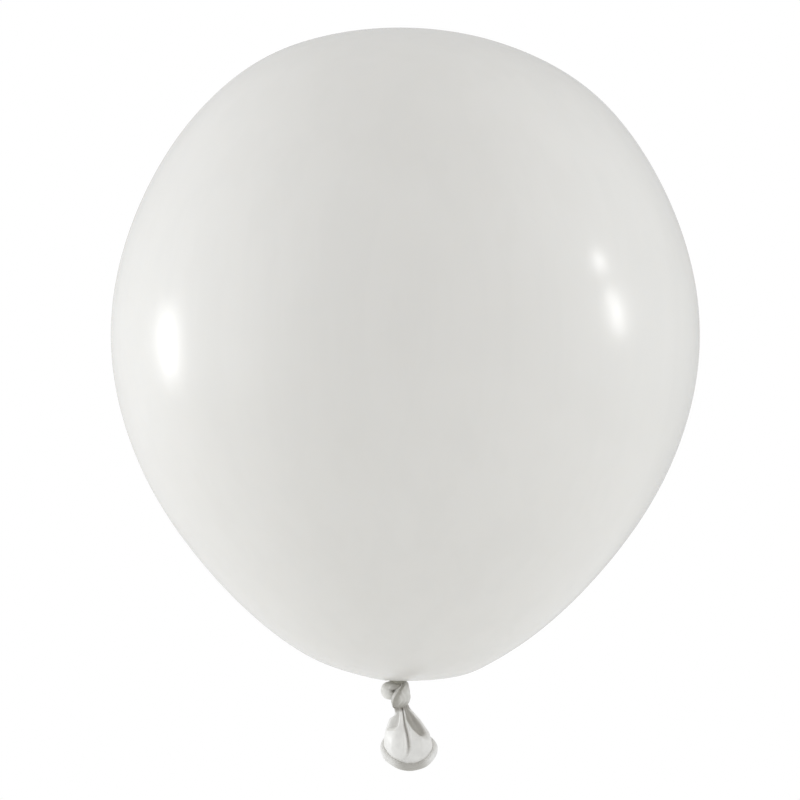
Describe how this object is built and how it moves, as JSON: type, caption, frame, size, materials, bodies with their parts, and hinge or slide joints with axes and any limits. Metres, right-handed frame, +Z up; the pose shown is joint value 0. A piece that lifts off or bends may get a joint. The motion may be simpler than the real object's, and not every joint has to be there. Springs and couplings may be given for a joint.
{
  "type": "latex balloon",
  "caption": "Round latex party balloon, inflated and tied off, with an overhand knot and a free gathered tail that ends in a rolled lip.",
  "frame": {"origin": "the throat, where the neck is pinched shut between the bulb and the knot, which is where a ribbon or a clip grips it", "axes": "+Z up through the bulb to the crown, -Y towards the front, +X to the right as seen from the front"},
  "size_m": [0.3006, 0.3006, 0.3791],
  "materials": {
    "stretched_film": "satin gloss",
    "gathered_film": "satin",
    "tail_film": "satin",
    "rolled_bead": "satin"
  },
  "bodies": {
    "balloon": {"envelope": "stretched_film", "throat": "gathered_film"},
    "knot": {"knot_wrap": "gathered_film", "knot_bight": "gathered_film", "knot_core": "gathered_film"},
    "tail_root": {"tail_waist": "gathered_film"},
    "tail": {"tail_skirt": "tail_film", "rolled_lip": "rolled_bead"}
  },
  "joints": [
    {"name": "neck_twist", "type": "hinge", "parent": "balloon", "child": "knot", "pos_m": [0, 0, -0.001], "axis": [0, 0, 1], "range_deg": [-90, 90], "stiffness_Nm_per_rad": 0.0005},
    {"name": "tail_nod", "type": "hinge", "parent": "knot", "child": "tail_root", "pos_m": [0.0024, 0, -0.014], "axis": [1, 0, 0], "range_deg": [-50, 50], "stiffness_Nm_per_rad": 0.0005},
    {"name": "tail_swing", "type": "hinge", "parent": "tail_root", "child": "tail", "pos_m": [0.0024, 0, -0.014], "axis": [0, 1, 0], "range_deg": [-50, 50], "stiffness_Nm_per_rad": 0.0005}
  ]
}
